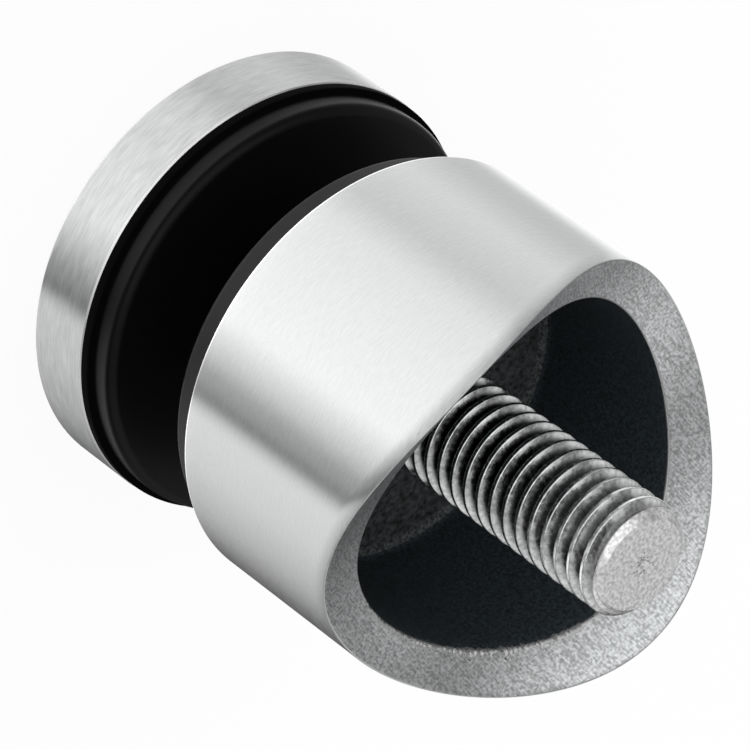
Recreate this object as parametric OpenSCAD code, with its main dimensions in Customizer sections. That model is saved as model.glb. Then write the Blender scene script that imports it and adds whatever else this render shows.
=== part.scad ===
// Glass adapter for a round handrail post.
// A clamping disc holds the glass against a spacer whose free end is cut to saddle on the post.
// One stud runs through the disc, the glass and the spacer and screws into the post.
// The part stands on the outer face of its disc, with the common axis along +Z.
// The post would lie along Y, so the spacer's two ears point up at +X and -X.

/* [Body] */
// Outside diameter of the clamping disc and the spacer, which line up on either side of the glass
body_d = 30; // [26:1:40]

/* [Clamping disc] */
// Thickness of the clamping disc
disc_t = 4.9; // [4:0.1:8]
// Rounding of the disc's outer edge, on the face that shows
disc_round = 0.25; // [0.2:0.05:1]
// Edge break of the disc on its gasket side
disc_break = 0.1; // [0.05:0.05:0.5]
// Steel left under the tapped hole for the stud
disc_skin = 1; // [0.8:0.1:2]

/* [Glass] */
// Thickness of the glass pane that goes between the gaskets
glass_t = 6; // [5:0.5:12]
// Diameter of the bush that fills the hole in the glass
bush_d = 12; // [11:0.5:16]

/* [Disc gasket] */
// How far the edge of the thin flange stays inside the disc's edge
flange_inset = 0.05; // [0.05:0.05:1]
// Thickness of the flange
flange_t = 0.7; // [0.3:0.1:1]
// How far the raised pad, which presses on the glass, stays inside the flange's edge
pad_inset = 0.45; // [0.1:0.05:3]
// Height of the pad above the flange
pad_t = 1.8; // [1:0.1:3]
// Rounding of the pad's front edge
pad_round = 0.7; // [0.3:0.1:0.9]

/* [Spacer gasket] */
// How far the rubber ring stays inside the spacer's edge
ring_inset = 1.1; // [0.2:0.1:3]
// Thickness of the rubber ring
ring_t = 2.3; // [1:0.1:4]
// Rounding of the ring's edge on the glass side
ring_round = 0.4; // [0.2:0.1:0.9]
// Rounding of the ring's edge on the spacer side
ring_back_round = 0.2; // [0.1:0.05:0.5]

/* [Spacer] */
// Wall thickness of the spacer
spacer_wall = 2.9; // [2:0.1:4]
// Thickness of the spacer's floor
floor_t = 2.5; // [2:0.1:5]
// Rounding between the floor and the wall
floor_round = 0.7; // [0.3:0.1:1.5]
// Rounding of the rim against the gasket
rim_round = 0.25; // [0.1:0.05:0.5]
// Distance from the spacer's gasket face to the post, at the shortest place
spacer_reach = 13.2; // [8:0.1:30]

/* [Post] */
// Outside diameter of the round tube that the spacer saddles on
post_d = 42.4; // [42.4, 48.3, 60.3]

/* [Stud] */
// Outside diameter of the thread, M8 as rolled
thread_d = 7.8; // [5.8:0.1:9.8]
// Pitch of the thread
thread_pitch = 1.25; // [1:0.25:1.5]
// How far the rolled thread stands above the plain waist
thread_rise = 0.4; // [0.3:0.05:0.6]
// Clear length between the spacer's floor and the start of the free thread
thread_gap = 0.8; // [0.4:0.1:2]
// How far the stud reaches into the post, past its outer wall
stud_grip = 13.1; // [8:0.1:25]
// Chamfer at the stud's free end
stud_chamfer = 0.8; // [0.4:0.1:1.2]
// Chamfer at the stud's end in the disc
end_chamfer = 0.4; // [0.2:0.1:0.8]

/* [Fits] */
// Clearance all round between the stud and the holes that slip over it
slip_gap = 0.3; // [0.2:0.05:0.5]
// Clearance all round between the stud's plain end and the hole it is locked in
tap_gap = 0.05; // [0.03:0.01:0.1]

/* [Hidden] */

$fn = 128;
// Overcut, so that no cut ends on the face that it opens
over = 1;

// Radii about the common axis
body_r = body_d / 2;
flange_r = body_r - flange_inset;
pad_r = flange_r - pad_inset;
bush_r = bush_d / 2;
ring_r = body_r - ring_inset;
bore_r = body_r - spacer_wall;
post_r = post_d / 2;
thread_r = thread_d / 2;
waist_r = thread_r - thread_rise;
// Metric profile: flanks at 60 degrees, crest an eighth of the pitch wide, root a quarter
crest_w = thread_pitch / 8;
root_r = thread_r - thread_pitch * cos(30) * 5 / 8;
slip_r = thread_r + slip_gap;
tap_r = waist_r + tap_gap;

// Heights along the axis, each piece seated on the one below it
pad_z = disc_t + flange_t + pad_t;
ring_z = pad_z + glass_t;
spacer_z = ring_z + ring_t;
floor_z = spacer_z + floor_t;
post_z = spacer_z + spacer_reach;
thread_z = floor_z + thread_gap;
thread_start_z = thread_z + thread_rise;
stud_end_z = post_z + stud_grip;

// Half section of a ring on the axis, with its outer edge rounded at the top or at the bottom
module ring_section(inner_r, outer_r, height, top_round = 0, bottom_round = 0) {
    difference() {
        translate([inner_r, 0])
            square([outer_r - inner_r, height]);
        if (top_round > 0)
            translate([outer_r - top_round, height - top_round])
                corner_waste(top_round);
        if (bottom_round > 0)
            translate([outer_r - bottom_round, bottom_round])
                mirror([0, 1])
                    corner_waste(bottom_round);
    }
}

// What is cut off a square corner to round it, with the arc's centre at the origin
module corner_waste(radius) {
    difference() {
        square(radius + over);
        circle(radius);
    }
}

// Turned disc, blind tapped hole in the middle of the gasket side
module clamping_disc() {
    color("lightgray")
        difference() {
            rotate_extrude()
                difference() {
                    ring_section(0, body_r, disc_t, bottom_round = disc_round);
                    // 45 degree edge break on the gasket side
                    polygon([
                        [body_r - disc_break, disc_t],
                        [body_r + over, disc_t - disc_break - over],
                        [body_r + over, disc_t + over],
                        [body_r - disc_break, disc_t + over]
                    ]);
                }
            translate([0, 0, disc_skin])
                cylinder(r = tap_r, h = disc_t);
        }
}

// Half outline of the stud's blank, chamfered at both ends
module stud_blank() {
    polygon([
        [0, disc_skin],
        [waist_r - end_chamfer, disc_skin],
        [waist_r, disc_skin + end_chamfer],
        [waist_r, thread_z],
        [thread_r, thread_start_z],
        [thread_r, stud_end_z - stud_chamfer],
        [thread_r - stud_chamfer, stud_end_z],
        [0, stud_end_z]
    ]);
}

// Half sections of the thread, as rings one pitch apart: the first crest at from_z, the last below to_z
module thread_rings(from_z, to_z) {
    flank_w = (thread_r - root_r) * tan(30);
    for (z = [from_z : thread_pitch : to_z])
        translate([0, z])
            polygon([
                [0, -flank_w],
                [root_r, -flank_w],
                [thread_r, 0],
                [thread_r, crest_w],
                [root_r, crest_w + flank_w],
                [0, crest_w + flank_w]
            ]);
}

// Stud: plain where it is locked in the disc and passes the glass, then the long free thread
module stud() {
    color("silver")
        rotate_extrude()
            intersection() {
                stud_blank();
                union() {
                    translate([0, disc_skin])
                        square([root_r, stud_end_z - disc_skin]);
                    translate([0, disc_skin])
                        square([waist_r, thread_start_z - disc_skin]);
                    thread_rings(thread_start_z, stud_end_z);
                }
            }
}

// Moulded rubber: a thin flange over the disc's face, with a raised pad for the glass
module disc_gasket() {
    color("black")
        translate([0, 0, disc_t])
            rotate_extrude() {
                ring_section(slip_r, flange_r, flange_t);
                ring_section(slip_r, pad_r, flange_t + pad_t, top_round = pad_round);
            }
}

// Plastic bush that keeps the glass off the stud and sets the gap while there is no glass
module glass_bush() {
    color("dimgray")
        translate([0, 0, pad_z])
            rotate_extrude()
                ring_section(slip_r, bush_r, glass_t);
}

// Rubber ring between the glass and the spacer
module spacer_gasket() {
    color("black")
        translate([0, 0, ring_z])
            rotate_extrude()
                ring_section(slip_r, ring_r, ring_t, ring_back_round, ring_round);
}

// The post's outside surface, lying along Y above the spacer
module post_envelope() {
    translate([0, 0, post_z + post_r])
        rotate([90, 0, 0])
            cylinder(r = post_r, h = body_d + 2 * over, center = true, $fn = 256);
}

// Half section of the cup before its free end is cut: floor with the stud's hole, then the open bore
module cup_section(height) {
    difference() {
        ring_section(slip_r, body_r, height, bottom_round = rim_round);
        difference() {
            translate([-over, floor_t])
                square([bore_r + over, height]);
            translate([bore_r - floor_round, floor_t + floor_round])
                mirror([0, 1])
                    corner_waste(floor_round);
        }
    }
}

// Turned cup whose open end is cut to the post's own radius, which leaves two ears and two valleys
module spacer() {
    color("gainsboro")
        difference() {
            translate([0, 0, spacer_z])
                rotate_extrude()
                    cup_section(spacer_reach + post_r);
            post_envelope();
        }
}

clamping_disc();
stud();
disc_gasket();
glass_bush();
spacer_gasket();
spacer();
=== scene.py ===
# %% [markdown]
# # A glass panel standoff
# This lesson dresses a small piece of facade hardware: a steel disc and a steel cup that grip a pane of
# glass between two rubber gaskets, with a threaded stud through the middle. The sizes come from the packed
# construction model, which is loaded first and never moved. Blender adds what a drawing leaves out: the
# thread, the tiny edge roundings that catch light, and the finish of each surface.

# %% Load the construction model
import math

import bpy
import numpy as np
from mathutils import Matrix, Vector


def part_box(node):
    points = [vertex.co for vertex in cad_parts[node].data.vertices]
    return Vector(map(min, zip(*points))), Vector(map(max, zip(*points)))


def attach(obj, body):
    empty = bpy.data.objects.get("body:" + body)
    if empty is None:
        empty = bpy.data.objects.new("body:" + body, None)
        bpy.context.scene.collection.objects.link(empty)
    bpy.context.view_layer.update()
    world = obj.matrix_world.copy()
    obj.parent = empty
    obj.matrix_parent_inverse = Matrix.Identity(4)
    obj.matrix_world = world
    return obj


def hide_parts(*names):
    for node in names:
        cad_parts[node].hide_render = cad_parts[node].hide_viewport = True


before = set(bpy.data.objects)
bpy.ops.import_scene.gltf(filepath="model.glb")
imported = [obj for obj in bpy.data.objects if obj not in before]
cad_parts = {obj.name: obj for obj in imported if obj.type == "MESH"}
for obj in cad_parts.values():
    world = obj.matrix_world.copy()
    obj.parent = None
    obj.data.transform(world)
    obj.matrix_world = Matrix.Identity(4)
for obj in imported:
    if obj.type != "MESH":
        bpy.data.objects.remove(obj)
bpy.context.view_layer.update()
MM = 0.001
for node_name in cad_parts:
    low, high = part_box(node_name)
    print(node_name, "from z", round(low.z / MM, 2), "to", round(high.z / MM, 2), "mm")

# %% [markdown]
# The dimensions that the dressed pieces need are read from the loaded model, so a change there carries
# over. Only what a box can't tell, such as the thickness of a wall, is written down here.

# %% Sizes of the pieces to build
stud_low, stud_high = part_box("stud")
spacer_low, spacer_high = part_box("spacer")
gasket_low, gasket_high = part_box("disc_gasket")

BODY_R = spacer_high.x
SPACER_Z = spacer_low.z
THREAD_R = stud_high.x
STUD_Z = stud_low.z
STUD_END_Z = stud_high.z
GASKET_Z = gasket_low.z
PAD_Z = gasket_high.z

POST_R = 21.2 * MM
BORE_R = BODY_R - 2.9 * MM
SLIP_R = THREAD_R + 0.3 * MM
FLOOR_Z = SPACER_Z + 2.5 * MM
FLOOR_ROUND = 0.7 * MM
RIM_ROUND = 0.25 * MM
# The ears are where the body's side meets the post, so their height gives the post's axis
POST_Z = spacer_high.z + math.sqrt(POST_R ** 2 - BODY_R ** 2)
print("post axis at", round(POST_Z / MM, 2), "mm, valleys at", round((POST_Z - POST_R) / MM, 2), "mm")

# %% [markdown]
# ## Small tools
# Every finish below is a tree of nodes, and adding a node by hand takes three lines. A few short helpers
# keep the trees readable: one places a node with its settings, one does a sum, and one mixes two values.
# Each takes plain numbers and sockets alike.

# %% Node helpers


def wire(tree, node, inputs):
    """Gives each named input its link, where it is handed a socket, or else its plain value."""
    for key, value in inputs.items():
        if isinstance(value, bpy.types.NodeSocket):
            tree.links.new(value, node.inputs[key])
        else:
            node.inputs[key].default_value = value


def add(tree, kind, inputs=None, **settings):
    """Adds a node, sets its properties and wires its inputs."""
    node = tree.nodes.new(kind)
    for key, value in settings.items():
        setattr(node, key, value)
    wire(tree, node, inputs or {})
    return node


def maths(tree, operation, *values):
    """One sum on numbers or sockets."""
    node = add(tree, "ShaderNodeMath", dict(enumerate(values)), operation=operation)
    return node.outputs[0]


def blend(tree, share, first, second, kind="FLOAT"):
    """Goes from the first value to the second while share goes from 0 to 1."""
    node = add(tree, "ShaderNodeMix", {"Factor": share, "A": first, "B": second}, data_type=kind)
    return node.outputs["Result"]


def stretch(tree, value, old, new, **settings):
    """Moves a value from its old range to a new one, and stops at the new one's ends."""
    node = add(tree, "ShaderNodeMapRange", {
        "Value": value, "From Min": old[0], "From Max": old[1], "To Min": new[0], "To Max": new[1],
    }, **settings)
    return node.outputs["Result"]


def ramp(tree, value, stops):
    """A grey ramp through (position, brightness) stops."""
    node = add(tree, "ShaderNodeValToRGB", {"Fac": value})
    elements = node.color_ramp.elements
    while len(elements) < len(stops):
        elements.new(0.5)
    for element, (position, grey) in zip(elements, sorted(stops)):
        element.position = position
        element.color = (grey, grey, grey, 1)
    return node.outputs["Color"]


def place_on_part(tree):
    """The place on the part in metres, the same for every piece, because all of them share one frame."""
    return add(tree, "ShaderNodeTexCoord").outputs["Object"]


print("node helpers ready")

# %% [markdown]
# An effect that several finishes share is a node group with named inputs, built once and used many times.
# The Principled shader itself stays in each material, where its plain numbers are easy to find. A third
# kind of helper turns a grey into a colour with a slight cast, because bare metal is never quite neutral.

# %% Helpers for groups and materials


def new_group(name, inputs, outputs):
    """A shader node group with float inputs, given as name to default, and float outputs."""
    group = bpy.data.node_groups.new(name, "ShaderNodeTree")
    for label, default in inputs.items():
        socket = group.interface.new_socket(label, in_out="INPUT", socket_type="NodeSocketFloat")
        socket.default_value = default
    for label in outputs:
        group.interface.new_socket(label, in_out="OUTPUT", socket_type="NodeSocketFloat")
    return group, add(group, "NodeGroupInput"), add(group, "NodeGroupOutput")


def use_group(tree, group, **values):
    """Places a node group and sets its inputs by name, with _ for a space."""
    inputs = {label.replace("_", " "): value for label, value in values.items()}
    return add(tree, "ShaderNodeGroup", inputs, node_tree=group)


def new_material(name):
    """An empty material with a Principled shader on its output."""
    material = bpy.data.materials.new(name)
    material.use_nodes = True
    return material, material.node_tree, principled(material)


def principled(material):
    """The material's own Principled shader."""
    return next(node for node in material.node_tree.nodes if node.type == "BSDF_PRINCIPLED")


def tinted(tree, grey, cast=(1.0, 1.0, 1.0)):
    """A colour from a grey. cast is the share of it that red, green and blue keep."""
    channels = zip(("Red", "Green", "Blue"), cast)
    node = add(tree, "ShaderNodeCombineColor", {
        channel: maths(tree, "MULTIPLY", grey, share) for channel, share in channels
    })
    return node.outputs["Color"]


def relief(tree, height, depth):
    """Turns a height between 0 and 1 into a normal, as if it were depth metres deep."""
    node = add(tree, "ShaderNodeBump", {"Height": height, "Distance": depth, "Strength": 1.0})
    return node.outputs["Normal"]


def new_object(name, data):
    """An object with that data, in the scene."""
    thing = bpy.data.objects.new(name, data)
    bpy.context.scene.collection.objects.link(thing)
    return thing


print("group and material helpers ready")

# %% [markdown]
# ## Camera
# A long lens from a little over forty degrees up flattens the part slightly, as a catalogue picture does.
# The picture is rolled, so that the upright part lies across it from the disc at the upper left to the
# stud at the lower right. Rolling the camera costs nothing, while laying the part down would take it off
# the face that it rests on.

# %% Place the camera
VIEW_AZIMUTH = math.radians(-168.6)
VIEW_ELEVATION = math.radians(40.2)
VIEW_ROLL = math.radians(125.94)
VIEW_DISTANCE = 427.7 * MM
AIM = np.array([-1.9, -0.55, 17.66]) * MM

towards = np.array([
    math.cos(VIEW_ELEVATION) * math.cos(VIEW_AZIMUTH),
    math.cos(VIEW_ELEVATION) * math.sin(VIEW_AZIMUTH),
    math.sin(VIEW_ELEVATION),
])
level_right = np.cross(-towards, (0, 0, 1))
level_right /= np.linalg.norm(level_right)
level_up = np.cross(level_right, -towards)
right = math.cos(VIEW_ROLL) * level_right + math.sin(VIEW_ROLL) * level_up
up = math.cos(VIEW_ROLL) * level_up - math.sin(VIEW_ROLL) * level_right

camera = new_object("camera", bpy.data.cameras.new("camera"))
place = np.eye(4)
place[:3, 0], place[:3, 1], place[:3, 2] = right, up, towards
place[:3, 3] = AIM + towards * VIEW_DISTANCE
camera.matrix_world = Matrix(place.tolist())
camera.data.lens = 328
camera.data.sensor_width = 36
camera.data.clip_start = 0.01
camera.data.clip_end = 20
bpy.context.scene.camera = camera
print("camera at", [round(v / MM, 1) for v in camera.location], "mm")

# %% [markdown]
# ## A tent of light
# Brushed steel shows hardly any colour of its own. What the eye reads as steel is the room in it: broad
# pale sheets, and a dark gap between two of them drawn out as a band along the body. A studio gets this
# with a tent of white paper, which is open and dark above. Here the world is that tent. Lamps could light
# the steel too, but each would add its own hard edge, and a tent has no noise.
#
# The sheets fan out from an upright line behind the part. A wall that faces some degrees away from the
# camera then mirrors one single sheet, however much its scratches spread the reflection up and down.

# %% Directions in the tent
scene = bpy.context.scene
scene.view_settings.view_transform = "Standard"

world = bpy.data.worlds.new("light_tent")
scene.world = world
world.use_nodes = True
tree = world.node_tree
tree.nodes.clear()

direction = add(tree, "ShaderNodeTexCoord").outputs["Generated"]
turned = add(tree, "ShaderNodeVectorRotate", {
    "Vector": direction, "Angle": -VIEW_AZIMUTH,
}, rotation_type="Z_AXIS")
parts = add(tree, "ShaderNodeSeparateXYZ", {"Vector": turned.outputs[0]})
fan_x = maths(tree, "ADD", parts.outputs["X"], math.cos(VIEW_ELEVATION))
# A whole turn of the fan becomes 0 to 1, with the camera's own side in the middle
around = maths(tree, "ARCTAN2", parts.outputs["Y"], fan_x)
around = maths(tree, "MULTIPLY_ADD", around, 0.5 / math.pi, 0.5)
print("tent turned by", round(math.degrees(VIEW_AZIMUTH), 1), "degrees to face the camera")

# %% [markdown]
# Each list is one storey of the tent, and each pair is an edge of a sheet: how many degrees a wall that
# mirrors it faces away from the camera, and how bright the paper is there. Upright walls mirror the low
# storey, which has the broad sheets and the gap at thirty degrees. The cut of the saddle, the tip of the
# stud and the flanks of its thread look up, so they mirror the storeys above. Almost everything behind the
# part is dark, which is what draws the dark edges.

# %% The sheets of the tent
LOW_SHEETS = [
    (-180, 0.02), (-150, 0.02), (-90, 2.05), (-80, 1.75), (-72, 1.02), (-64, 1.07), (-50, 1.49),
    (-34, 1.28), (-24, 1.74), (-8, 1.96), (10, 2.14), (20, 1.21), (24, 0.70), (26.5, 0.68),
    (30.5, 0.26), (32, 1.06), (35, 1.62), (48, 1.40), (62, 0.91), (70, 0.52), (76, 0.22),
    (84, 0.02), (150, 0.02), (180, 0.02),
]
MIDDLE_SHEETS = [
    (-180, 0.02), (-150, 0.05), (-80, 0.5), (-50, 0.3), (-15, 0.1), (50, 0.05), (75, 0.3), (180, 0.02),
]
HIGH_SHEETS = [
    (-180, 0.3), (-100, 0.7), (-74, 0.9), (-64, 0.35), (-35, 0.2), (-22, 0.9), (-10, 1.2),
    (8, 1.35), (20, 1.0), (34, 0.45), (50, 0.75), (75, 0.85), (100, 0.6), (180, 0.3),
]
ROOF_SHEETS = [(-180, 0.10), (-70, 0.15), (-15, 0.12), (22, 0.12), (34, 0.5), (90, 0.4), (180, 0.10)]
# A ramp holds greys up to 1 only, so they are stored as shares of this and multiplied back later
BRIGHTEST = 2.5
# Elevations between which each storey gives way to the next one, in degrees
TO_MIDDLE, TO_HIGH, TO_ROOF = (-26, -14), (8, 20), (62, 74)


def storey(sheets):
    """The brightness of one storey, all round."""
    return ramp(tree, around, [((angle + 180) / 360, grey / BRIGHTEST) for angle, grey in sheets])


def higher(below, above, elevations):
    """Goes from one storey to the next between two elevations, in degrees."""
    heights = [math.sin(math.radians(elevation)) for elevation in elevations]
    share = stretch(tree, parts.outputs["Z"], heights, (0.0, 1.0), interpolation_type="SMOOTHSTEP")
    return blend(tree, share, below, above, "RGBA")


tent = higher(storey(LOW_SHEETS), storey(MIDDLE_SHEETS), TO_MIDDLE)
tent = higher(tent, storey(HIGH_SHEETS), TO_HIGH)
tent = higher(tent, storey(ROOF_SHEETS), TO_ROOF)
print("tent with", sum(map(len, (LOW_SHEETS, MIDDLE_SHEETS, HIGH_SHEETS, ROOF_SHEETS))), "edges of sheets")

# %% [markdown]
# The camera and matt surfaces meet plain white paper, and only reflections meet the sheets and gaps. So
# the steel can be tuned without a change to the background or to how light the rubber is.

# %% Who sees the sheets
reflected = add(tree, "ShaderNodeBackground", {"Color": tent, "Strength": BRIGHTEST})
plain = add(tree, "ShaderNodeBackground", {"Color": (1, 1, 1, 1), "Strength": 1.0})
glossy_ray = add(tree, "ShaderNodeLightPath").outputs["Is Glossy Ray"]
seen = add(tree, "ShaderNodeMixShader", {"Fac": glossy_ray, 1: plain.outputs[0], 2: reflected.outputs[0]})
add(tree, "ShaderNodeOutputWorld", {"Surface": seen.outputs[0]})
print("world:", len(tree.nodes), "nodes")

# %% [markdown]
# One soft lamp above gives the shadows a direction. The tent does nearly all the work, so the lamp stays
# weak and large.

# %% Lamp
lamp = new_object("soft_lamp", bpy.data.lights.new("soft_lamp", "AREA"))
lamp.data.size = 0.5
lamp.data.energy = 0.5
lamp.location = (-0.25, 0.45, 0.65)
lamp.rotation_mode = "QUATERNION"
lamp.rotation_quaternion = (-Vector(lamp.location)).to_track_quat("-Z", "Y")
print("lamp of", lamp.data.energy, "W,", lamp.data.size, "m across")

# %% [markdown]
# The floor is pale and close to white for the camera only, through Light Path, so that no extra light lands
# on the part. It keeps a share of its plain diffuse shading, which is where the shadow shows. Steel that
# mirrors a floor so near would show nothing else, so the floor stays out of reflections, and the tent
# goes on below it.

# %% Floor
FLOOR_SIZE = 6.0
FLOOR_GLOW = 0.9
FLOOR_GAP = 0.02 * MM

mesh = bpy.data.meshes.new("floor")
half = FLOOR_SIZE / 2
corners = [(-half, -half, 0), (half, -half, 0), (half, half, 0), (-half, half, 0)]
mesh.from_pydata(corners, [], [(0, 1, 2, 3)])
floor = new_object("floor", mesh)
floor.location.z = -FLOOR_GAP
floor.visible_glossy = False

material = bpy.data.materials.new("pale_floor")
material.use_nodes = True
tree = material.node_tree
tree.nodes.clear()
camera_ray = add(tree, "ShaderNodeLightPath").outputs["Is Camera Ray"]
paper = add(tree, "ShaderNodeBsdfDiffuse", {"Color": (0.9, 0.9, 0.9, 1)})
glow = add(tree, "ShaderNodeEmission", {"Color": (1, 1, 1, 1), "Strength": 1.0})
glow_share = maths(tree, "MULTIPLY", camera_ray, FLOOR_GLOW)
both = add(tree, "ShaderNodeMixShader", {"Fac": glow_share, 1: paper.outputs[0], 2: glow.outputs[0]})
add(tree, "ShaderNodeOutputMaterial", {"Surface": both.outputs[0]})
floor.data.materials.append(material)
print("floor of", FLOOR_SIZE, "m")

# %% [markdown]
# ## Where a point lies on a turned piece
# Everything here was turned or threaded round one axis, so many finishes depend on two numbers only: how
# far a point is from the axis, and how high it is. One group works them out for all. It also says where
# the point lies between an inner and an outer circle, which is the mask that pits and grime need.

# %% Node group: place on a turned piece
turned_group, given, result = new_group(
    "turned_place", {"Inner": 0.0, "Outer": 1.0}, ["Distance", "Height", "Share"],
)
tree = turned_group
spot = add(tree, "ShaderNodeSeparateXYZ", {"Vector": place_on_part(tree)})
y_square = maths(tree, "MULTIPLY", spot.outputs["Y"], spot.outputs["Y"])
square = maths(tree, "MULTIPLY_ADD", spot.outputs["X"], spot.outputs["X"], y_square)
distance = maths(tree, "SQRT", square)
circles = given.outputs["Inner"], given.outputs["Outer"]
wire(tree, result, {
    "Distance": distance,
    "Height": spot.outputs["Z"],
    "Share": stretch(tree, distance, circles, (0.0, 1.0)),
})
print("place on a turned piece:", len(tree.nodes), "nodes")

# %% [markdown]
# ## Marks of the brush
# A turned part is brushed while it spins, so the scratches run round it, each about a millimetre long and
# a tenth wide. The same effect serves the disc, the cup and the stud, so it is one node group. Noise that
# is stretched round the axis gives the scratches: its input is the place on the part, squeezed across the
# scratches and drawn out along them. A wave texture would repeat, and noise doesn't.

# %% Node group: brush marks
# How much wider the broad marks are than the fine ones, and how far they are shifted from them
BROAD, SHIFT = 0.22, 0.1

brush_group, given, result = new_group(
    "brush_marks", {"Scratches per mm": 9.0, "Length in mm": 5.0, "Unevenness": 0.5}, ["Value", "Height"],
)
tree = brush_group
spot = add(tree, "ShaderNodeSeparateXYZ", {"Vector": place_on_part(tree)})
turned_place = use_group(tree, turned_group)
# Radius plus height grows along the outline of a turned piece, up its wall and across its face alike
outline = maths(tree, "ADD", turned_place.outputs["Height"], turned_place.outputs["Distance"])
along = maths(tree, "DIVIDE", 1.0 / MM, given.outputs["Length in mm"])
across = maths(tree, "MULTIPLY", given.outputs["Scratches per mm"], 1.0 / MM)


def scratches(across, shift):
    """Noise drawn out round the axis."""
    vector = add(tree, "ShaderNodeCombineXYZ", {
        "X": maths(tree, "MULTIPLY", spot.outputs["X"], along),
        "Y": maths(tree, "MULTIPLY", spot.outputs["Y"], along),
        "Z": maths(tree, "MULTIPLY", maths(tree, "ADD", outline, shift), across),
    })
    noise = add(tree, "ShaderNodeTexNoise", {
        "Vector": vector.outputs[0], "Scale": 1.0, "Detail": 2.0, "Roughness": 0.5,
    })
    return noise.outputs["Fac"]


fine = scratches(across, 0.0)
broad = scratches(maths(tree, "MULTIPLY", across, BROAD), SHIFT)
wire(tree, result, {"Value": blend(tree, given.outputs["Unevenness"], fine, broad), "Height": fine})
print("brush marks:", len(tree.nodes), "nodes")

# %% [markdown]
# ## Pits and speckle
# Cut, blackened and moulded faces have a grain with no direction. One group gives it to the saddle, to the
# dark inside of the cup and to the rubber, each at its own grain size. Soft noise gives patches, and the
# cells of a Voronoi texture give round pits with a dark middle.

# %% Node group: grain
grain_group, given, result = new_group("grain", {"Grains per mm": 6.0, "Pits": 0.5}, ["Value"])
tree = grain_group
where = place_on_part(tree)
scale = maths(tree, "MULTIPLY", given.outputs["Grains per mm"], 1.0 / MM)
soft = add(tree, "ShaderNodeTexNoise", {"Vector": where, "Scale": scale, "Detail": 4.0}).outputs["Fac"]
cells = add(tree, "ShaderNodeTexVoronoi", {"Vector": where, "Scale": scale}).outputs["Distance"]
pits = ramp(tree, cells, [(0.0, 0.0), (0.25, 0.85), (0.45, 1.0)])
wire(tree, result, {"Value": blend(tree, given.outputs["Pits"], soft, pits)})
print("grain:", len(tree.nodes), "nodes")

# %% [markdown]
# ## Streaks of a cutter, and painted shade
# The saddle was cut by a tool that swept round the post, so its marks all run one way, along X. The group
# draws noise out that way. It also gives a painted shade, which makes the steel in the one valley darker
# than on the far side.

# %% Node group: cutter streaks and painted shade
# The side without painted shade lies at 60 degrees from X, and the sum along that direction is in
# millimetres
LIT_SIDE_X, LIT_SIDE_Y = 0.50 / MM, 0.87 / MM

streak_and_shade_group, given, result = new_group(
    "cutter_streaks_and_shade",
    {"Streaks per mm": 6.0, "Length in mm": 2.0, "Shade from mm": -12.0, "Shade to mm": -2.0},
    ["Value", "Painted shade"],
)
tree = streak_and_shade_group
spot = add(tree, "ShaderNodeSeparateXYZ", {"Vector": place_on_part(tree)})
along = maths(tree, "DIVIDE", 1.0 / MM, given.outputs["Length in mm"])
across = maths(tree, "MULTIPLY", given.outputs["Streaks per mm"], 1.0 / MM)
drawn_out = add(tree, "ShaderNodeCombineXYZ", {
    "X": maths(tree, "MULTIPLY", spot.outputs["X"], along),
    "Y": maths(tree, "MULTIPLY", spot.outputs["Y"], across),
    "Z": maths(tree, "MULTIPLY", spot.outputs["Z"], along),
}).outputs[0]
streaks = add(tree, "ShaderNodeTexNoise", {"Vector": drawn_out, "Scale": 1.0, "Detail": 2.0})
# Painted shade: how far a point lies towards the lit side sets how much shade is painted on it
from_x = maths(tree, "MULTIPLY", spot.outputs["X"], LIT_SIDE_X)
toward_lit_side = maths(tree, "MULTIPLY_ADD", spot.outputs["Y"], LIT_SIDE_Y, from_x)
shade_range = given.outputs["Shade from mm"], given.outputs["Shade to mm"]
wire(tree, result, {
    "Value": streaks.outputs["Fac"],
    "Painted shade": stretch(tree, toward_lit_side, shade_range, (1.0, 0.0)),
})
print("cutter streaks:", len(tree.nodes), "nodes")

# %% [markdown]
# ## Brushed steel
# Scratches that run round the part spread a reflection along its axis and leave it sharp round it. That
# is what anisotropy does. The tangent runs round the Z axis and the highlight is turned a quarter, which
# puts the blur across the scratches. Plain roughness alone would blur both ways and lose the bands. The
# scratches change the grey clearly but the roughness only a little, or white streaks would run round it.

# %% Brushed steel
# Noise hardly leaves the middle of its range, so that is the part which the finishes stretch
NOISE = (0.3, 0.7)
STEEL_CAST = (0.99, 1.0, 1.0)
QUARTER_TURN = 0.25


def brushed_steel(name, greys, roughness, spread, anisotropy, depth, **brush):
    """Steel brushed round the Z axis. greys are the two ends of its grey.

    spread is how far the scratches move the roughness either way, and depth is how deep they are.
    """
    material, tree, shader = new_material(name)
    marks = use_group(tree, brush_group, **brush)
    value = marks.outputs["Value"]
    wire(tree, shader, {
        "Base Color": tinted(tree, stretch(tree, value, NOISE, greys), STEEL_CAST),
        "Roughness": stretch(tree, value, NOISE, (roughness - spread, roughness + spread)),
        "Metallic": 1.0,
        "Anisotropic": anisotropy,
        "Anisotropic Rotation": QUARTER_TURN,
        "Tangent": add(tree, "ShaderNodeTangent", direction_type="RADIAL", axis="Z").outputs[0],
        "Normal": relief(tree, marks.outputs["Height"], depth),
    })
    print(name, "with greys", greys, "and roughness", roughness)
    return material


disc_steel = brushed_steel(
    "disc_steel", (0.42, 0.68), 0.32, 0.03, 1.0, 0.0002 * MM,
    Scratches_per_mm=9.0, Length_in_mm=1.5, Unevenness=0.4,
)
spacer_steel = brushed_steel(
    "spacer_steel", (0.56, 0.71), 0.30, 0.03, 1.0, 0.0001 * MM,
    Scratches_per_mm=10.0, Length_in_mm=0.7, Unevenness=0.25,
)
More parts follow.
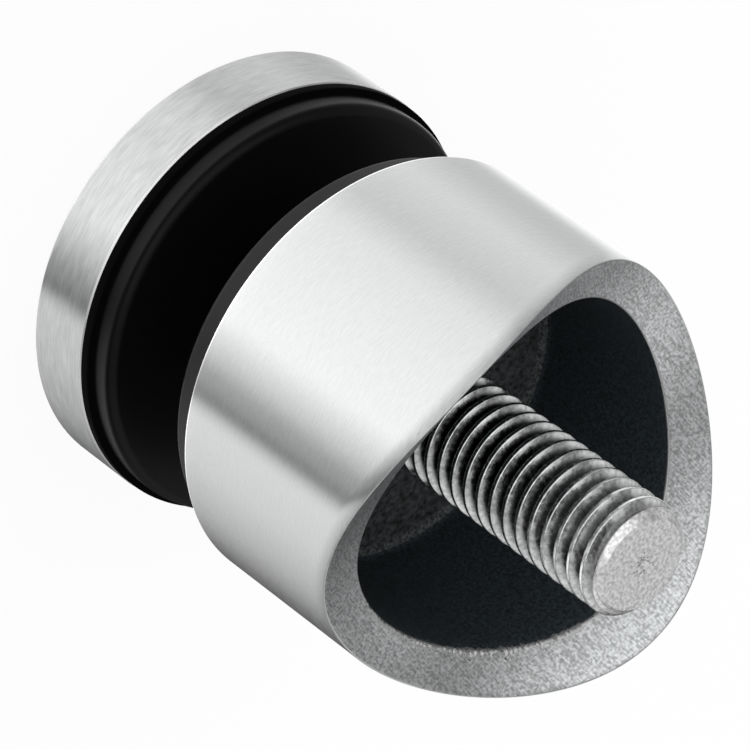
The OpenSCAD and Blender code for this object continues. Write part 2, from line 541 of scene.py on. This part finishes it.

# %% [markdown]
# ## Rubber and plastic
# Moulded rubber is nearly black and reflects a little of the room, so its round edges show as soft grey
# lines. The disc's gasket is the softer of the two and shines less. Its flange shines hardly at all and
# is the darkest, as painted shade beside the steel. How much each one shines is a plain number on its
# shader, because it is the same all over. The bush in the gap is plain black plastic, smoother and barely
# seen.

# %% Dark moulded finishes
# How far the grain moves a moulding's grey, as shares of it, and its roughness
DARKER, LIGHTER = 0.7, 1.3
GRAIN_SPREAD = 0.06


def moulded(name, grey, shine, roughness, grains, depth):
    """A dark moulded material with a fine grain, so many to the millimetre and that deep."""
    material, tree, shader = new_material(name)
    value = use_group(tree, grain_group, Grains_per_mm=grains, Pits=0.15).outputs["Value"]
    roughnesses = roughness - GRAIN_SPREAD, roughness + GRAIN_SPREAD
    wire(tree, shader, {
        "Base Color": tinted(tree, stretch(tree, value, NOISE, (grey * DARKER, grey * LIGHTER))),
        "Roughness": stretch(tree, value, (0.0, 1.0), roughnesses),
        "Specular IOR Level": shine,
        "Normal": relief(tree, value, depth),
    })
    print(name, "with grey", grey, "and shine", shine)
    return material


ring_rubber = moulded("ring_rubber", 0.005, 0.24, 0.5, 5.0, 0.004 * MM)
pad_rubber = moulded("pad_rubber", 0.002, 0.12, 0.36, 5.0, 0.004 * MM)
# Painted shade: the flange is the darkest rubber and barely shines, for the shade beside the steel
flange_painted_shade = moulded("flange_painted_shade", 0.0015, 0.02, 0.7, 9.0, 0.006 * MM)
plastic = moulded("bush_plastic", 0.012, 0.3, 0.4, 8.0, 0.002 * MM)

# %% [markdown]
# ## Narrow bands
# Two places are too narrow for a material of their own. On the disc's edge against the gasket a lighter
# grey with a lower roughness paints a thin highlight line. On the rubber ring a black band paints the shade
# beside the cup. Both are one mask: what lies between two heights. The mask is a group, and the finish
# takes another grey and roughness inside it.

# %% Node group: height band
band_group, given, result = new_group("height_band", {"Low": 0.0, "High": 1.0}, ["Inside"])
tree = band_group
height = add(tree, "ShaderNodeSeparateXYZ", {"Vector": place_on_part(tree)}).outputs["Z"]
above = maths(tree, "GREATER_THAN", height, given.outputs["Low"])
below = maths(tree, "LESS_THAN", height, given.outputs["High"])
wire(tree, result, {"Inside": maths(tree, "MULTIPLY", above, below)})


def tint_band(material, low, high, grey, roughness):
    """Gives the part of a finish that lies between two heights another grey and roughness."""
    tree, shader = material.node_tree, principled(material)
    inside = use_group(tree, band_group, Low=low, High=high).outputs["Inside"]
    colour = shader.inputs["Base Color"].links[0].from_socket
    rough = shader.inputs["Roughness"].links[0].from_socket
    wire(tree, shader, {
        "Base Color": blend(tree, inside, colour, (grey, grey, grey, 1), "RGBA"),
        "Roughness": blend(tree, inside, rough, roughness),
    })
    print(material.name, "has a band of", round((high - low) / MM, 2), "mm")


# Painted highlight: a thin lighter band on the disc's edge against the gasket
tint_band(disc_steel, GASKET_Z - 0.11 * MM, GASKET_Z - 0.01 * MM, 0.75, 0.2)
# Painted shade: a black band on the rubber ring beside the cup
tint_band(ring_rubber, SPACER_Z - 0.11 * MM, SPACER_Z + 0.01 * MM, 0.0, 0.95)

# %% [markdown]
# ## Dressing three pieces as they are
# The disc, the rubber ring and the bush have the right shape already, so they keep their meshes and only
# get a material. That keeps them exactly as the drawing made them, and there is less to build.

# %% Dress the disc, the ring and the bush


def dress(node, material):
    """Gives a construction piece its finish. Its mesh stays as it is."""
    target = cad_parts[node]
    target.data.materials.clear()
    target.data.materials.append(material)
    print(node, "wears", material.name)


dress("clamping_disc", disc_steel)
dress("spacer_gasket", ring_rubber)
dress("glass_bush", plastic)

# %% [markdown]
# ## Blackened and bare faces
# Only the outside of the cup is brushed. Its bore never was, and a dark scale with a bluish cast stays on
# it. The floor inside was turned a little cleaner than the wall. The fillet between them is painted lighter
# still, for the light that it catches, and the rim against the rubber is painted near white as a highlight.
# The lip of the cut is black and bright in specks, where the burr was knocked off. They get materials of
# their own, because one material can have only one anisotropy.

# %% Rough metal
FULL_GRAIN = (0.35, 0.68)
SCALE_CAST = (0.62, 0.92, 1.12)
FLOOR_CAST = (0.90, 1.0, 1.04)


def rough_metal(name, greys, metallic, roughness, grains, pits, depth, cast=(1.0, 1.0, 1.0)):
    """Metal with a grain and no direction. cast tints its grey."""
    material, tree, shader = new_material(name)
    value = use_group(tree, grain_group, Grains_per_mm=grains, Pits=pits).outputs["Value"]
    wire(tree, shader, {
        "Base Color": tinted(tree, stretch(tree, value, FULL_GRAIN, greys), cast),
        "Metallic": metallic,
        "Roughness": roughness,
        "Normal": relief(tree, value, depth),
    })
    print(name, "with greys", greys, "and roughness", roughness)
    return material


cup_scale = rough_metal("cup_scale", (0.0, 0.046), 0.0, 0.75, 5.0, 0.1, 0.06 * MM, SCALE_CAST)
floor_scale = rough_metal("cup_floor", (0.0, 0.085), 0.0, 0.6, 3.0, 0.1, 0.08 * MM, FLOOR_CAST)
# Painted light: the fillet is a lighter copy of the floor's finish, for the light that it catches
fillet_painted_light = rough_metal("cup_fillet_painted_light", (0.01, 0.13), 0.0, 0.6, 5.0, 0.0, 0.05 * MM, FLOOR_CAST)
# Painted highlight: the rim is near white, for the highlight along its rounding
rim_painted_highlight = rough_metal("rim_painted_highlight", (0.80, 0.95), 1.0, 0.25, 4.0, 0.2, 0.002 * MM)
lip_steel = rough_metal("lip_steel", (0.0, 0.5), 1.0, 0.4, 4.0, 0.95, 0.02 * MM)

# %% [markdown]
# ## The cut of the saddle
# The saddle is cut last, so it is clean, matt and faintly streaked. The streaks and the grain are added
# up before they become a grey, and the same sum gives the relief, so light and shade agree. One side gets
# painted shade: it is the same steel in a darker grey, because another roughness there would change its
# highlights as well.

# %% Saddle finish
STREAK_SHARE = 0.6
# How dark the painted shade makes the shaded side, as a share of its grey
DEEPEST_SHADE = 0.42
SADDLE_CAST = (0.98, 1.0, 1.01)

saddle_steel, tree, shader = new_material("saddle_steel")
grain = use_group(tree, grain_group, Grains_per_mm=5.0, Pits=0.0)
streaks = use_group(tree, streak_and_shade_group, Streaks_per_mm=9.0, Length_in_mm=0.8)
marks = maths(tree, "MULTIPLY_ADD", streaks.outputs["Value"], STREAK_SHARE, grain.outputs["Value"])
shade = stretch(tree, marks, (0.64, 0.96), (0.42, 0.88))
# Painted shade: one valley of the saddle is darker than the far side
unshaded = maths(tree, "MULTIPLY_ADD", streaks.outputs["Painted shade"], -DEEPEST_SHADE, 1.0)
wire(tree, shader, {
    "Base Color": tinted(tree, maths(tree, "MULTIPLY", shade, unshaded), SADDLE_CAST),
    "Metallic": 1.0,
    "Roughness": 0.42,
    "Normal": relief(tree, marks, 0.02 * MM),
})
print("saddle finish:", len(tree.nodes), "nodes")

# %% [markdown]
# ## The skin of a turned piece
# The gasket, the cup and the stud are nearly turned: take rings of points at many places along an outline,
# and join each ring to the next. What isn't turned, such as the saddle or the thread, is a ring whose
# points are not all at one height or one radius. A lathe modifier would give only the round part.

# %% Mesh helpers


def skin(name, rings, kinds, materials, closed):
    """A mesh of quads between rings of points. kinds gives each ring the number of its material.

    closed joins the last ring to the first. Otherwise the two ends are capped.
    """
    rings = np.asarray(rings)
    count, around, _ = rings.shape
    points = rings.reshape(-1, 3).tolist()
    faces, slots = [], []
    for k in range(count if closed else count - 1):
        here, there = k * around, (k + 1) % count * around
        for j in range(around):
            beside = (j + 1) % around
            faces.append((here + j, here + beside, there + beside, there + j))
            slots.append(kinds[k])
    if not closed:
        for k, order in ((0, -1), (count - 1, 1)):
            middle = len(points)
            points.append(rings[k].mean(axis=0).tolist())
            edge = [k * around + j for j in range(around)][::order]
            faces += [(edge[j], edge[(j + 1) % around], middle) for j in range(around)]
            slots += [kinds[k]] * around
    mesh = bpy.data.meshes.new(name)
    mesh.from_pydata(points, [], faces)
    for material in materials:
        mesh.materials.append(material)
    mesh.polygons.foreach_set("material_index", slots)
    mesh.polygons.foreach_set("use_smooth", [True] * len(faces))
    mesh.update()
    print(name, len(points), "points,", sum(len(f) - 2 for f in faces), "triangles")
    return new_object(name, mesh)


def ring(angle, radius, height):
    """Points round the axis. Radius and height are numbers or one value for each angle."""
    radius = np.broadcast_to(radius, angle.shape)
    height = np.broadcast_to(height, angle.shape)
    return np.stack([radius * np.cos(angle), radius * np.sin(angle), height], axis=1)


def arc(centre_r, centre_z, radius, start, stop, steps):
    """Points of an arc in the outline, from angle start to stop in degrees."""
    turns = np.radians(np.linspace(start, stop, steps))
    return [(centre_r + radius * math.cos(t), centre_z + radius * math.sin(t)) for t in turns]


# %% [markdown]
# ## The disc's gasket
# One moulding: a thin flange over the disc's face and a raised pad that presses on the glass. The flange
# gets the darkest, almost unreflective finish, which paints the shade that draws the black line between
# steel and rubber, while the pad keeps the smooth moulded finish. So the piece is turned again here with
# two finishes. Its corners get the small radii that moulded rubber has.

# %% Turn the disc's gasket
FLANGE_R = gasket_high.x
FLANGE_TOP_Z = GASKET_Z + 0.7 * MM
PAD_R = FLANGE_R - 0.45 * MM
PAD_ROUND = 0.7 * MM
CORNER = 0.06 * MM
PAD_COLUMNS = 256
# The flange's finish paints the shade beside the steel, and the pad's is the plain moulding
FLANGE_SHADE, SMOOTH = 0, 1

outline = [(r, GASKET_Z, FLANGE_SHADE) for r in np.linspace(SLIP_R, FLANGE_R - CORNER, 8)[:-1]]
outline += [(*p, FLANGE_SHADE) for p in arc(FLANGE_R - CORNER, GASKET_Z + CORNER, CORNER, -90, 0, 4)]
outline += [(*p, FLANGE_SHADE) for p in arc(FLANGE_R - CORNER, FLANGE_TOP_Z - CORNER, CORNER, 0, 90, 5)]
foot = arc(PAD_R + CORNER, FLANGE_TOP_Z + CORNER, CORNER, 270, 180, 4)
outline += [(*p, FLANGE_SHADE) for p in foot[:-1]] + [(*foot[-1], SMOOTH)]
outline += [(*p, SMOOTH) for p in arc(PAD_R - PAD_ROUND, PAD_Z - PAD_ROUND, PAD_ROUND, 0, 90, 14)]
outline += [(r, PAD_Z, SMOOTH) for r in np.linspace(PAD_R - PAD_ROUND, SLIP_R, 8)[1:]]
outline += [(SLIP_R, z, SMOOTH) for z in np.linspace(PAD_Z, GASKET_Z, 4)[1:-1]]

angle = np.linspace(0, 2 * math.pi, PAD_COLUMNS, endpoint=False)
rings = [ring(angle, r, z) for r, z, _ in outline]
pad = skin("disc_pad", rings, [kind for _, _, kind in outline], [flange_painted_shade, pad_rubber], closed=True)
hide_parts("disc_gasket")
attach(pad, "clamp_head")

# %% [markdown]
# ## What is left of the burr
# The cutter pushed a burr over the inner edge of the saddle, and knocking it off left the edge ragged on
# one side of the cup. It is drawn as chips of random size, most of them small, that fade out at both ends
# of that side. Bump would leave the edge itself a clean line, so the chips are geometry, and that side of
# the cup gets more columns of points.

# %% The ragged edge
BURR = 0.36 * MM
BURR_FROM, BURR_TO = math.radians(-100), math.radians(0)
CHIPS = 150
MOSTLY_SMALL = 1.5
FADE = 0.7

ragged_side = np.linspace(BURR_FROM, BURR_TO, 450, endpoint=False)
smooth_side = np.linspace(BURR_TO, BURR_FROM + 2 * math.pi, 330, endpoint=False)
angle = np.concatenate([ragged_side, smooth_side])

chance = np.random.default_rng(5)
chip_angle = np.linspace(BURR_FROM, BURR_TO, CHIPS)
chip_size = chance.random(chip_angle.size) ** MOSTLY_SMALL
swell = np.clip(np.sin(math.pi * (chip_angle - BURR_FROM) / (BURR_TO - BURR_FROM)), 0, 1) ** FADE
burr = BURR * np.interp(angle, chip_angle, chip_size * swell, left=0, right=0)
print("chips up to", round(burr.max() / MM, 2), "mm deep,", len(angle), "columns of points")

# %% [markdown]
# ## The saddle-cut cup
# The outline runs round the wall once: under the floor, over the rim, up the outside, across the cut
# and down the inside. Where the outline reaches the cut, its height depends on the angle, because the
# post's surface rises from the valleys to the ears. The outer edge of the cut gets a small rounding, which
# draws a bright line, and the inner one carries the chips. Cutting a cup with a Boolean would give the
# same form, but no control over the rows of faces beside the edges.

# %% Helpers for the cup
EDGE = 0.1 * MM
# The middle of a rounding lies about this far from both of the faces that it joins
HALFWAY = EDGE * 0.3
OUTSIDE, CUT, WALL, FLOOR, RIM, LIP, FILLET = range(7)

rings, finish = [], []


def cut_height(radius):
    """Height of the post's surface over a circle of that radius, at each angle."""
    return POST_Z - np.sqrt(POST_R ** 2 - (radius * np.cos(angle)) ** 2)


def lay(new_rings, kind):
    """Adds rings to the cup, with the finish of the faces that follow each of them."""
    rings.extend(new_rings)
    finish.extend([kind] * len(new_rings))


def rise(radius, start, stop, shares):
    """Rings of one radius from one height to another. Either height may differ round the cup."""
    return [ring(angle, radius, start + (stop - start) * share) for share in shares]


cut_low, cut_high = cut_height(BODY_R).min(), cut_height(BODY_R).max()
print("cut from", round(cut_low / MM, 2), "to", round(cut_high / MM, 2), "mm")

# %% [markdown]
# The rings follow in the order of the outline. The rows are closer together wherever the form bends, and
# each row says which finish the faces after it get.

# %% Build the cup
lay([ring(angle, r, SPACER_Z) for r in np.linspace(SLIP_R, BODY_R - RIM_ROUND, 12)[:-1]], OUTSIDE)
rim = arc(BODY_R - RIM_ROUND, SPACER_Z + RIM_ROUND, RIM_ROUND, -90, 0, 8)
lay([ring(angle, *p) for p in rim[:-1]], RIM)
lay([ring(angle, *rim[-1])], OUTSIDE)
outer_top = cut_height(BODY_R) - EDGE
lay(rise(BODY_R, SPACER_Z + RIM_ROUND, outer_top, np.linspace(0, 1, 16)[1:]), OUTSIDE)

outer_edge = BODY_R - HALFWAY
lay([ring(angle, outer_edge, cut_height(outer_edge) - HALFWAY)], OUTSIDE)
inner_edge = BORE_R + EDGE + burr
for share in np.linspace(0, 0.93, 14):
    radius = (BODY_R - EDGE) * (1 - share) + inner_edge * share
    lay([ring(angle, radius, cut_height(radius))], CUT)
# A chip is widest on top, and it thins out down the edge
specks = inner_edge + HALFWAY + burr * 0.5
lay([ring(angle, r, cut_height(r)) for r in (specks, inner_edge)], LIP)
lip = BORE_R + HALFWAY + burr * 0.6
lay([ring(angle, lip, cut_height(lip) - HALFWAY - burr * 0.5)], LIP)

inner_top = cut_height(BORE_R) - EDGE - burr
lay(rise(BORE_R, inner_top, FLOOR_Z + FLOOR_ROUND, np.linspace(0, 1, 16)[:-1]), WALL)
fillet = arc(BORE_R - FLOOR_ROUND, FLOOR_Z + FLOOR_ROUND, FLOOR_ROUND, 0, -90, 10)
lay([ring(angle, *p) for p in fillet[:4]], WALL)
lay([ring(angle, *p) for p in fillet[4:-1]], FILLET)
lay([ring(angle, *fillet[-1])], FLOOR)
lay([ring(angle, r, FLOOR_Z) for r in np.linspace(BORE_R - FLOOR_ROUND, SLIP_R, 12)[1:]], FLOOR)
lay(rise(SLIP_R, FLOOR_Z, SPACER_Z, np.linspace(0, 1, 6)[1:-1]), WALL)

cup_finishes = [spacer_steel, saddle_steel, cup_scale, floor_scale, rim_painted_highlight, lip_steel, fillet_painted_light]
cup = skin("spacer_cup", rings, finish, cup_finishes, closed=True)
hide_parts("spacer")
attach(cup, "standoff")

# %% [markdown]
# ## The thread
# A metric thread is a ridge of sixty degrees wound round the stud, one turn for each pitch, with its crest
# and root rounded by the rolling die. Blender's Screw modifier can wind a profile, but its ends need
# cutting. Here each point of a fine round grid asks how far along the ridge it is, and takes its
# radius from that. The end chamfer is then just a smaller radius, and the groove runs out in it by itself.

# %% Shape of the thread
PITCH = 1.25 * MM
SHARP_HEIGHT = PITCH * math.sqrt(3) / 2
# The share of the sharp ridge's height at which its crest is cut off, and the depth from crest to root
CREST_SHARE = 0.79
THREAD_DEPTH = 0.6134 * PITCH
ROOT_ROUND = 0.12 * MM
CREST_ROUND = 0.05 * MM
COLUMNS = 112

angle = np.linspace(0, 2 * math.pi, COLUMNS, endpoint=False)


def soft_max(a, b, width):
    """The larger of two values, with a rounded corner where they cross."""
    share = np.clip(0.5 + 0.5 * (a - b) / width, 0, 1)
    return b + (a - b) * share + width * share * (1 - share)


def soft_min(a, b, width):
    """The smaller of two values, with the same rounded corner."""
    return -soft_max(-a, -b, width)


def thread_radius(height):
    """Radius of the thread at that height, at each angle, for a right-hand thread."""
    turn_share = height / PITCH - angle / (2 * math.pi)
    ridge = np.abs(2 * (turn_share % 1.0) - 1)
    sharp = THREAD_R + SHARP_HEIGHT * (ridge - CREST_SHARE)
    grooved = soft_max(sharp, THREAD_R - THREAD_DEPTH, ROOT_ROUND)
    return soft_min(grooved, THREAD_R, CREST_ROUND)


print("thread", round(2 * THREAD_R / MM, 2), "mm across,", round(THREAD_DEPTH / MM, 2), "mm deep")

# %% [markdown]
# ## The steel of the stud
# A rolled thread is bright on its crests, and its grooves lie in shade. The bright steel is the brushed one
# again with fine marks, and the grooves get a painted shade by distance from the axis: the deeper the
# point, the darker. Towards the free end the painted shade is lighter, so the darkest shade rises with the
# height.
# Painting the grooves by hand would have to follow the helix, and distance follows it by itself.

# %% Stud steel
# How dark the painted shade in the grooves is near the cup and at the free end, and where it eases
GROOVE_SHADE, TIP_GROOVE_SHADE = 0.08, 0.6
SHADE_EASES_FROM, SHADE_EASES_TO = 31 * MM, 42 * MM


def paint_groove_shade(material, root, crest):
    """Paints shade on a steel from the crest's radius down to the root's, less so towards the free end."""
    tree, shader = material.node_tree, principled(material)
    colour = shader.inputs["Base Color"].links[0].from_socket
    spot = use_group(tree, turned_group, Inner=root, Outer=crest)
    darkest = stretch(tree, spot.outputs["Height"], (SHADE_EASES_FROM, SHADE_EASES_TO), (GROOVE_SHADE, TIP_GROOVE_SHADE))
    share = stretch(
        tree, spot.outputs["Share"], (0.0, 1.0), (darkest, 1.0), interpolation_type="SMOOTHSTEP",
    )
    shaded_colour = add(tree, "ShaderNodeVectorMath", {0: colour, "Scale": share}, operation="SCALE")
    wire(tree, shader, {"Base Color": shaded_colour.outputs[0]})


stud_steel = brushed_steel(
    "stud_steel", (0.42, 0.86), 0.20, 0.10, 0.3, 0.0004 * MM,
    Scratches_per_mm=6.0, Length_in_mm=0.35, Unevenness=0.1,
)
# Painted shade: the thread's grooves darker by depth, lighter towards the free end
paint_groove_shade(stud_steel, THREAD_R - 0.52 * MM, THREAD_R - 0.12 * MM)

# %% [markdown]
# ## The end of the stud
# The stud was cut to length and faced, so its end is blotchy steel, with a cluster of pits round the mark
# in its middle. The pits come from the same grain group as everywhere else, and a mask keeps them near
# the axis. Modelling each pit would take many faces for marks of a tenth of a millimetre.

# %% End finish
PIT_DARKNESS = 2.4
PITS_TO, PITS_END = 0.4 * MM, 1.3 * MM

end_steel, tree, shader = new_material("stud_end_steel")
blotches = use_group(tree, grain_group, Grains_per_mm=4.0, Pits=0.0).outputs["Value"]
pits = use_group(tree, grain_group, Grains_per_mm=4.5, Pits=1.0).outputs["Value"]
far = use_group(tree, turned_group, Inner=PITS_TO, Outer=PITS_END).outputs["Share"]
near = maths(tree, "SUBTRACT", 1.0, far)
hole = maths(tree, "MULTIPLY", maths(tree, "SUBTRACT", 1.0, pits), PIT_DARKNESS)
left = maths(tree, "SUBTRACT", 1.0, maths(tree, "MULTIPLY", hole, near))
shade = stretch(tree, blotches, (0.38, 0.62), (0.62, 1.0))
wire(tree, shader, {
    "Base Color": tinted(tree, maths(tree, "MULTIPLY", shade, left)),
    "Metallic": 1.0,
    "Roughness": 0.36,
    "Normal": relief(tree, blotches, 0.02 * MM),
})
print("end finish:", len(tree.nodes), "nodes")

# %% [markdown]
# ## The stud
# The stud is plain where it hides in the disc and passes the glass. The thread starts above the cup's
# floor and grows to its full height over one turn. At the free end the chamfer takes it down again, and
# the end face closes it, with a shallow mark in the middle. The rows lie a fortieth of a pitch apart,
# because the bright line along a crest shows every facet.

# %% Build the stud
THREAD_START_Z = 19.4 * MM
RUN_IN = 0.4 * MM
WAIST_R = THREAD_R - 0.4 * MM
CHAMFER = 0.8 * MM
CHAMFER_ROUND = 0.05 * MM
FACE_ROUND = 0.04 * MM
END_CHAMFER = 0.4 * MM
CENTRE_MARK = 0.3 * MM
ROWS_PER_PITCH = 40
THREADED, END = 0, 1

waist_z = STUD_Z + END_CHAMFER
rings = [ring(angle, WAIST_R - END_CHAMFER, STUD_Z), ring(angle, WAIST_R, waist_z)]
rings += [ring(angle, WAIST_R, z) for z in np.linspace(waist_z, THREAD_START_Z - RUN_IN, 9)[1:]]
rows = int((STUD_END_Z - THREAD_START_Z) / PITCH * ROWS_PER_PITCH)
for height in np.linspace(THREAD_START_Z, STUD_END_Z, rows):
    start_share = min(1.0, (height - THREAD_START_Z) / PITCH)
    radius = WAIST_R + (thread_radius(height) - WAIST_R) * start_share
    chamfer_radius = THREAD_R - (height - (STUD_END_Z - CHAMFER))
    rings.append(ring(angle, soft_min(radius, chamfer_radius, CHAMFER_ROUND), height))
face_r = THREAD_R - CHAMFER - FACE_ROUND
rings += [ring(angle, r, STUD_END_Z) for r in np.linspace(face_r, CENTRE_MARK, 12)]
rings += [ring(angle, CENTRE_MARK * 0.4, STUD_END_Z - CENTRE_MARK * 0.3)]

# The end's finish starts just above the foot of the chamfer
END_FINISH_Z = STUD_END_Z - CHAMFER + 0.1 * MM
kinds = [END if points[0, 2] > END_FINISH_Z else THREADED for points in rings]
stud = skin("stud_thread", rings, kinds, [stud_steel, end_steel], closed=False)
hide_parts("stud")
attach(stud, "clamp_head")
